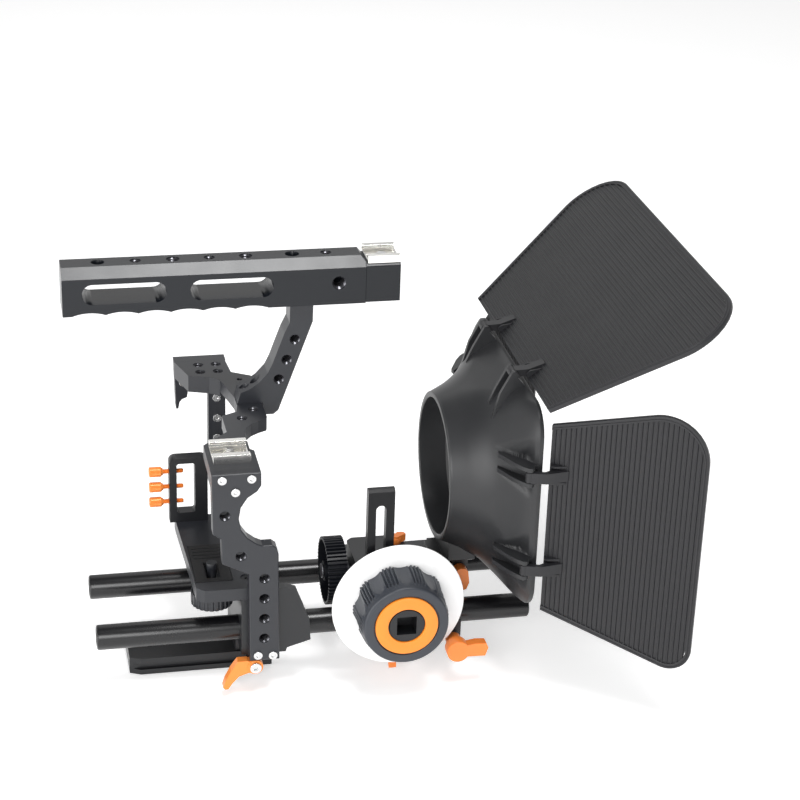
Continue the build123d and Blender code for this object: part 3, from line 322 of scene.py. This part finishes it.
def flag_piece(name, body, size, arm, hinge, x_dir, z_dir, centres):
    """Ribbed flag with a double rim on its three free edges and two cranked hinge arms."""
    half_in, half_out, length, corners = size
    slope = (half_out - half_in) / (length - EDGE)
    axis_x, axis_z = arm["axis"]
    xd, zd = Vector(x_dir), Vector(z_dir)
    yd = zd.cross(xd)
    origin = Vector(hinge) - xd * axis_x - zd * axis_z

    def at(x, y, z):
        return origin + xd * x + yd * y + zd * z

    def chain(inset):
        x = length - inset
        y_in, y_out = half_in - inset * SIDE_SLANT, half_out - inset * (SIDE_SLANT + slope)
        return rounded([(EDGE, -y_in), (x, -y_out), (x, y_out), (EDGE, y_in)],
                       [corners[1] - inset, corners[0] - inset])

    flag = Shape()
    under = [[at(x, y, -z) for x, y in chain(inset)] for inset, z in RIM_STEPS]
    over = [[at(x, y, z) for x, y in chain(inset)] for inset, z in RIM_STEPS]
    loops = under[::-1] + over
    n, m = len(loops[0]), len(loops)
    faces = [(k * n + i, k * n + i + 1, (k + 1) * n + i + 1, (k + 1) * n + i)
             for k in range(m - 1) for i in range(n - 1)]
    faces += [tuple(k * n for k in range(m)), tuple(k * n + n - 1 for k in range(m - 1, -1, -1))]
    flag.add([p for loop in loops for p in loop], faces)

    inner = chain(RIM_WIDTH)
    left = [p for p in inner if p[1] < 0]
    right = [p for p in inner[::-1] if p[1] > 0]
    panel, faces = [], []
    for k, (x, z) in enumerate(rib_stations(length - RIM_WIDTH)):
        lo, hi = across(left, x) - 0.03, across(right, x) + 0.03
        panel += [at(x, lo, z), at(x, hi, z), at(x, lo, -z), at(x, hi, -z)]
        if k:
            a, b = 4 * (k - 1), 4 * k
            faces += [(a, a + 1, b + 1, b), (a + 2, b + 2, b + 3, a + 3)]
    faces.append((0, 1, 3, 2))
    flag.add(panel, faces)

    knuckle = ((KNUCKLE_R - 0.3, -1), (KNUCKLE_R, -0.9), (KNUCKLE_R, 0.9), (KNUCKLE_R - 0.3, 1),
               (PIN_R, 1), (PIN_R, -1))
    turns = [2 * pi * i / KNUCKLE_SIDES for i in range(KNUCKLE_SIDES)]
    web = [(a, b * WEB_SQUASH + WEB_LIFT) for a, b in WEB]
    for c in centres:
        flag.prism(arm["outline"], lambda a, b, t: at(a, t, b), c - TAB_T / 2, c + TAB_T / 2)
        flag.rings([[at(axis_x + r * cos(t), c + side * TAB_T / 2, axis_z + r * sin(t))
                     for t in turns] for r, side in knuckle])
        for gap in WEB_GAPS:
            flag.prism(web, lambda a, b, t: at(a, t, b), c + gap, c + gap + WEB_T)
    build(name, flag, FLAG, body, name, smooth=28)


TOP_ARM = dict(axis=(-4.5, 7.4), outline=[(-6.9, 6.4), (-4.6, 4.8), (-1.2, 3.0), (1.5, 0.6),
                                          (14.0, 0.6), (14.0, 1.5), (4.5, 4.2), (-2.2, 8.6),
                                          (-4.5, 10.0)])
SIDE_ARM = dict(axis=(-7.67, 10.4), outline=[(-8.6, 8.0), (-5.6, 8.6), (0.4, 7.4), (2.3, 4.6),
                                             (2.6, 0.6), (12.5, 0.6), (12.5, 1.5), (6.4, 6.6),
                                             (2.4, 9.8), (-6.0, 12.4), (-8.4, 12.9)])
TOP_SIZE = (83.8, 136.0, 118.5, (28.0, 28.0))       # half widths in and out, length, corners
SIDE_SIZE, SIDE_CORNERS = (60.2, 86.0, 92.0), (26.0, 14.0)
TOP_HINGE_X, TOP_HINGE_Z = 243.0, 158.7
SIDE_HINGE_X, SIDE_HINGE_Y = 244.0, 80.4
TOP_CENTRES, SIDE_CENTRES = (-34.0, 34.0), (-30.0, 30.0)
TOP_TILT, NEAR_SWING, FAR_SWING = radians(35.7), radians(31.8), radians(53.0)

flag_piece("top_flag", "top_flag_body", TOP_SIZE, TOP_ARM, (TOP_HINGE_X, 0.0, TOP_HINGE_Z),
           (cos(TOP_TILT), 0, sin(TOP_TILT)), (-sin(TOP_TILT), 0, cos(TOP_TILT)), TOP_CENTRES)
for side, name, swing, corners in ((-1, "near", NEAR_SWING, SIDE_CORNERS),
                                   (1, "far", FAR_SWING, SIDE_CORNERS[::-1])):
    flag_piece(name + "_side_flag", name + "_flag_body", (*SIDE_SIZE, corners), SIDE_ARM,
               (SIDE_HINGE_X, side * SIDE_HINGE_Y, LENS_Z), (cos(swing), side * sin(swing), 0),
               (-sin(swing), side * cos(swing), 0), SIDE_CENTRES)


# ---- matte box housing: smooth flare from the round collar to the rectangular rim --------
RIM = (78.0, 65.0, 18.0, 3.0)           # half width, half height, corner radius, lift
STATIONS = [(208.0, 45.15, 45.15, 45.1, 0.0), (219.0, 51.0, 49.6, 49.0, 0.5),
            (229.0, 57.5, 53.8, 47.0, 1.3), (237.0, 65.0, 58.6, 38.0, 2.0),
            (245.0, 74.0, 63.4, 24.0, 2.7), (249.5, *RIM)]
WALL = 2.6
BORE_R, COLLAR_X, COLLAR_END = 41.5, 207.0, 224.0
RIM_X = 252.0
INNER_FLARE_X = 226.0                   # the flare's inner skin starts past the collar's bore
SCOOP_X, SCOOP_LENGTH, SCOOP_DEPTH = 230.0, 17.5, 7.0
SIDE_EAR_Z = [LENS_Z + z for z in SIDE_CENTRES]
EAR_T, EAR_GAP = 2.6, 0.3


def smooth_stations(rows, per=10):
    """Cubic run through the station rows."""
    out = []
    for k in range(len(rows) - 1):
        p0, p1 = rows[max(k - 1, 0)], rows[k]
        p2, p3 = rows[k + 1], rows[min(k + 2, len(rows) - 1)]
        for i in range(per):
            t = i / per
            out.append(tuple(0.5 * (2 * b + (c - a) * t + (2 * a - 5 * b + 4 * c - d) * t * t
                                    + (3 * b - a - 3 * c + d) * t ** 3)
                             for a, b, c, d in zip(p0, p1, p2, p3)))
    return out + [rows[-1]]


def scoop(x, z):
    """Depth of the pointed hollows beside each side hinge."""
    along, depth = (x - SCOOP_X) / SCOOP_LENGTH, 0.0
    if 0 < along < 1:
        for centre in SIDE_EAR_Z:
            for side, wide in ((1, 17.0), (-1, 12.0)):
                off = (side * (z - centre) - 5.6) / (wide * along + 0.01)
                if 0 < off < 1:
                    ends = min(1, off * 9) * min(1, (1 - along) * 6)
                    depth = max(depth, SCOOP_DEPTH * along * (1 - off) * ends)
    return depth


def ring_at(x, w, h, r, lift=0.0, inset=0.0, dent=True):
    """Rounded rectangle round the lens axis at x, with the side hollows when dented."""
    w, h, r = w - inset, h - inset, max(r - inset, 0.5)
    r = min(r, w - 0.01, h - 0.01)
    corners = (((w - r, h - r), 0, (-(w - r), h), 8), ((-(w - r), h - r), 90, (-w, -(h - r)), 40),
               ((-(w - r), -(h - r)), 180, (w - r, -h), 8), ((w - r, -(h - r)), 270, (w, h - r), 40))
    points = []
    for (cy, cz), start, (next_y, next_z), m in corners:
        points += arc(cy, cz, r, start, start + 90, 60)
        y, z = points[-1]
        points += [(y + (next_y - y) * i / m, z + (next_z - z) * i / m) for i in range(1, m)]
    out = []
    for y, z in points:
        z += LENS_Z + lift
        depth = scoop(x, z) if dent and abs(y) > 0.55 * w else 0.0
        out.append((x, y - depth * (1 if y > 0 else -1), z))
    return out


def disc_ring(x, r):
    return ring_at(x, r, r, r, dent=False)


def rim_ring(x, inset):
    return ring_at(x, *RIM, inset, False)


def ear_sides(centre):
    """Where the two ears that hold a hinge arm start."""
    return (centre - TAB_T / 2 - EAR_GAP - EAR_T, centre + TAB_T / 2 + EAR_GAP)


SIDE_EAR = arc(SIDE_HINGE_X, SIDE_HINGE_Y, KNUCKLE_R, -30, 120) + [
    (239.6, 79.0), (236.0, 73.0), (230.2, 60.2), (231.0, 57.0), (240.0, 66.6), (250.3, 76.5),
    (249.0, 78.4)]


def top_ear(tip):
    """Fin down to the height where the flare is met."""
    return arc(TOP_HINGE_X, TOP_HINGE_Z, KNUCKLE_R, -30, 120) + [
        (239.2, 156.0), (235.0, 148.0), (230.9, tip + 5.0), (231.8, tip), (240.0, tip + 7.0),
        (250.4, 150.5), (248.6, 153.6)]


flare = smooth_stations(STATIONS)
outer = [disc_ring(COLLAR_X, 44.5), disc_ring(207.2, 44.95), disc_ring(207.6, 45.1)]
outer += [ring_at(*row) for row in flare]
outer += [rim_ring(251.6, 0.0), rim_ring(251.9, 0.15), rim_ring(RIM_X, 0.5)]
inner = [rim_ring(RIM_X, 2.2), rim_ring(251.7, WALL)]
inner += [ring_at(*row, WALL) for row in flare[::-1] if row[0] > INNER_FLARE_X]
inner += [disc_ring(224.3, 43.0), disc_ring(COLLAR_END, BORE_R), disc_ring(207.5, BORE_R),
          disc_ring(COLLAR_X, 42.0)]
housing = Shape()
housing.rings(outer + inner)
for centre in TOP_CENTRES:
    for start in ear_sides(centre):
        tip = 127.5 if abs(start + EAR_T / 2) > TOP_CENTRES[1] else 133.5
        housing.prism(top_ear(tip), lambda a, b, t: (a, t, b), start, start + EAR_T)
for side in (-1, 1):
    for centre in SIDE_EAR_Z:
        for start in ear_sides(centre):
            housing.prism(SIDE_EAR, lambda a, b, t: (a, side * b, t), start, start + EAR_T)
build("matte_box_housing", housing, PLASTIC, "matte_body", "matte_box_housing", smooth=38,
      bevel=0.0004)


# ---- focus wheel: scalloped knob with ribbed lobes, and the coloured ring set in its face -----
WHEEL_X, WHEEL_Z = 176.4, 20.1
LOBES = 10
HALF_LOBE = pi / LOBES
SCALLOP_FROM, SCALLOP_R = 37.6, 12.0    # hollows between the lobes: distance of centres, radius
RIB_STEP, RIB_HALF = radians(4.6), radians(1.45)
RIB_CUT = 1.25
KNOB_PROFILE = [(-53.6, 27.4, 1, 1), (-54.0, 27.8, 1, 1), (-60.0, 27.35, 1, 1),
                (-66.0, 26.8, 1, 1), (-71.6, 26.2, 1, 1), (-72.3, 25.9, 1, 0.25),
                (-72.8, 25.6, 0.9, 0), (-75.2, 25.3, 0.3, 0), (-76.6, 25.0, 0, 0),
                (-77.2, 24.5, 0, 0), (-77.4, 23.9, 0, 0), (-77.4, 19.7, 0, 0),
                (-77.1, 19.35, 0, 0), (-76.2, 19.3, 0, 0), (-76.2, 10.4, 0, 0),
                (-64.0, 10.4, 0, 0), (-64.0, 4.0, 0, 0), (-53.6, 4.0, 0, 0)]   # y, r, hollow, ribs
RING_PROFILE = [(-76.2, 18.6), (-77.5, 18.6), (-77.8, 18.45), (-77.9, 18.1), (-77.9, 11.6),
                (-77.8, 11.2), (-77.5, 11.0), (-76.2, 11.0)]


def lobed_radius(t, r0, hollow, ribs):
    """Radius of the knob at angle t, with its hollows and grip ribs faded by two factors."""
    from_lobe = (t + HALF_LOBE) % (2 * HALF_LOBE) - HALF_LOBE
    from_hollow = HALF_LOBE - abs(from_lobe)
    reach = SCALLOP_FROM * sin(from_hollow)
    r = r0
    if from_hollow < 0.3 and reach < SCALLOP_R:
        depth = SCALLOP_FROM * cos(from_hollow) - (SCALLOP_R ** 2 - reach ** 2) ** 0.5 - r0
        r = min(r, r0 + hollow * depth)
    for place in (-1.5, -0.5, 0.5, 1.5):
        off = abs(from_lobe - RIB_STEP * place) / RIB_HALF
        if off < 1:
            r -= RIB_CUT * ribs * (1 - off * off)
    return r


def wheel_ring(y, r0, hollow=0, ribs=0, n=180):
    """Ring round the wheel's axis."""
    out = []
    for i in range(n):
        t = 2 * pi * i / n
        r = lobed_radius(t, r0, hollow, ribs)
        out.append((WHEEL_X + r * cos(t), y, WHEEL_Z + r * sin(t)))
    return out


knob = Shape()
knob.rings([wheel_ring(*row, n=720) for row in KNOB_PROFILE])
build("handwheel_knob", knob, GREY_RUBBER, "handwheel", "handwheel_knob", smooth=32)
ring = Shape()
ring.rings([wheel_ring(*row) for row in RING_PROFILE])
build("handwheel_ring", ring, RING, "handwheel", "handwheel_ring", smooth=40)


# ---- cut threads standing in the tapped holes ------------------------------------------
QUARTER_R, THREE_EIGHTHS_R, HANDLE_LARGE_R = 3.2, 4.2, 3.9
FINE, COARSE = (1.27, 0.62), (1.59, 0.8)    # pitch and depth of a thread
THREAD_SIDES = 40
HANDLE_TOP = 206.3


def threads(name, node, holes, cut=FINE):
    """V ridges in each hole: (axis, a, b, radius, lo, hi) with a, b across the axis."""
    pitch, depth = cut
    ridges = Shape()
    for axis, a, b, r, lo, hi in holes:
        rings = []
        turns = int((hi - lo) / pitch)
        for i in range(2 * turns + 1):
            along = lo + (hi - lo) * i / (2 * turns)
            q = r - 0.03 - (depth if i % 2 else 0.0)
            loop = [(a + q * cos(2 * pi * m / THREAD_SIDES), b + q * sin(2 * pi * m / THREAD_SIDES))
                    for m in range(THREAD_SIDES)]
            rings.append([(u, along, v) if axis == "y" else (u, v, along) for u, v in loop])
        ridges.rings(rings, closed=False)
    build(name, ridges, THREAD, "cage", node, smooth=25, instead=False)


leg_holes = [(96.5, 4.4 + 13.4 * k) for k in range(4)]
threads("near_plate_threads", "near_side_plate",
        [("y", x, z, QUARTER_R, -52.2, -45.4) for x, z in [(73.5, 87.2), (82.7, 60.4)] + leg_holes])
threads("handle_arm_threads", "handle_arm",
        [("y", x, z, QUARTER_R, 40.5, 54.5) for x, z in ((127.9, 154.1), (123.0, 141.2), (118.3, 128.6))])
threads("handle_side_thread", "handle_bar", [("y", 153.3, 191.3, THREE_EIGHTHS_R, 35.6, 45.6)], COARSE)
threads("handle_top_threads", "handle_bar",
        [("z", x, 47.5, r, HANDLE_TOP - 7.5, HANDLE_TOP - 0.8)
         for x, r in ((34.2, QUARTER_R), (56.1, HANDLE_LARGE_R), (77.5, QUARTER_R),
                      (99.1, HANDLE_LARGE_R), (147.0, QUARTER_R))])
threads("top_plate_threads", "top_plate",
        [("z", x, y, QUARTER_R, 106.2, 113.0)
         for x, y in ((76.6, 101.5), (87.6, 101.5), (76.6, 90.5), (87.6, 90.5), (101.7, 32.0),
                      (93.3, 20.2))])


# ---- cable screws: knurled round heads on thin threaded shanks ---------------------------
CABLE_Y = 46.0
SCREW_SIDES = 72
KNURL = 0.35
HEAD_PROFILE = [(39.3, 2.3, 0), (39.6, 2.9, 0), (40.0, 3.15, KNURL), (46.4, 3.15, KNURL),
                (46.8, 2.9, 0), (47.2, 2.3, 0), (47.9, 2.1, 0)]         # x, radius, knurl depth
SHANK_PROFILE = [(48.0 + 0.35 * k, 1.6 if k % 2 else 1.2, 0) for k in range(35)] + [(60.4, 1.0, 0)]

for name, z0 in (("upper", 68.2), ("middle", 57.8), ("lower", 47.6)):
    rings = []
    for x, r, cut in HEAD_PROFILE + SHANK_PROFILE:
        loop = []
        for i in range(SCREW_SIDES):
            t, q = 2 * pi * i / SCREW_SIDES, r - (cut if i % 4 == 0 else 0)
            loop.append((x, CABLE_Y + q * cos(t), z0 + q * sin(t)))
        rings.append(loop)
    screw = Shape()
    screw.rings(rings, closed=False)
    n = len(screw.verts)
    screw.faces += [tuple(range(SCREW_SIDES - 1, -1, -1)), tuple(range(n - SCREW_SIDES, n))]
    build("cable_screw_" + name, screw, ORANGE_METAL, f"cable_screw_{name}_body",
          "cable_screw_" + name, smooth=30)


# ---- camera, light, floor ------------------------------------------------------
CAMERA_AT = (-0.113235, -1.107003, 0.685610)
AZIMUTH, ELEVATION, ROLL = radians(12.480), radians(24.730), radians(1.969)
forward = Vector((sin(AZIMUTH) * cos(ELEVATION), cos(AZIMUTH) * cos(ELEVATION), -sin(ELEVATION)))
level = Vector((cos(AZIMUTH), -sin(AZIMUTH), 0))
upright = level.cross(forward)
right = level * cos(ROLL) + upright * sin(ROLL)
up = upright * cos(ROLL) - level * sin(ROLL)
camera = bpy.data.objects.new("camera", bpy.data.cameras.new("camera"))
bpy.context.scene.collection.objects.link(camera)
camera.matrix_world = Matrix(((right.x, up.x, -forward.x, CAMERA_AT[0]),
                              (right.y, up.y, -forward.y, CAMERA_AT[1]),
                              (right.z, up.z, -forward.z, CAMERA_AT[2]), (0, 0, 0, 1)))
camera.data.sensor_width = 36
camera.data.lens = 94.70
camera.data.clip_start = 0.05
bpy.context.scene.camera = camera

world = bpy.data.worlds.new("studio")
world.use_nodes = True
sky_tree = world.node_tree
background = sky_tree.nodes["Background"]
background.inputs["Strength"].default_value = 1.0
split = sky_tree.nodes.new("ShaderNodeSeparateXYZ")
sky_tree.links.new(sky_tree.nodes.new("ShaderNodeTexCoord").outputs["Generated"],
                   split.inputs["Vector"])
SKY = [(0.0, grey(0.97)), (0.22, grey(0.84)), (0.45, grey(0.26))]   # pale horizon, darker overhead
sky_tree.links.new(ramp(sky_tree, split.outputs["Z"], SKY), background.inputs["Color"])
bpy.context.scene.world = world

LAMPS = {"key": ((0.20, -0.48, 1.48), 0.45, 12), "front": ((-0.55, -1.5, 0.80), 0.7, 13),
         "left": ((-1.30, -0.55, 0.35), 0.8, 9), "rim": ((0.2, 1.1, 1.3), 1.2, 4)}
LAMP_TARGET = Vector((0.10, 0.0, 0.08))
for name, (place, size, power) in LAMPS.items():
    light = bpy.data.lights.new(name, "AREA")
    light.energy = power
    light.size = size
    lamp = bpy.data.objects.new(name, light)
    bpy.context.scene.collection.objects.link(lamp)
    lamp.location = place
    lamp.rotation_euler = (LAMP_TARGET - Vector(place)).to_track_quat("-Z", "Y").to_euler()

FLOOR_HALF = 6.0
FLOOR_GLOW = 0.45
floor_material, floor_tree, floor_shader = new_material("floor")
floor_tone = ramp(floor_tree, noise(floor_tree, 3.0), [(LOW_STOP, grey(0.93)), (HIGH_STOP, grey(0.95))])
floor_tree.links.new(floor_tone, floor_shader.inputs["Base Color"])
floor_shader.inputs["Roughness"].default_value = 0.9
floor_shader.inputs["Emission Color"].default_value = (1, 1, 1, 1)
floor_shader.inputs["Emission Strength"].default_value = FLOOR_GLOW
floor_mesh = bpy.data.meshes.new("floor")
floor_mesh.from_pydata([(x * FLOOR_HALF, y * FLOOR_HALF, 0)
                        for x, y in ((-1, -1), (1, -1), (1, 1), (-1, 1))], [], [(0, 1, 2, 3)])
floor = bpy.data.objects.new("floor", floor_mesh)
floor.location = (0, 0, CAD_BOX[0][2] - 0.001)
floor.data.materials.append(floor_material)
bpy.context.scene.collection.objects.link(floor)
bpy.context.scene.view_settings.view_transform = "Standard"
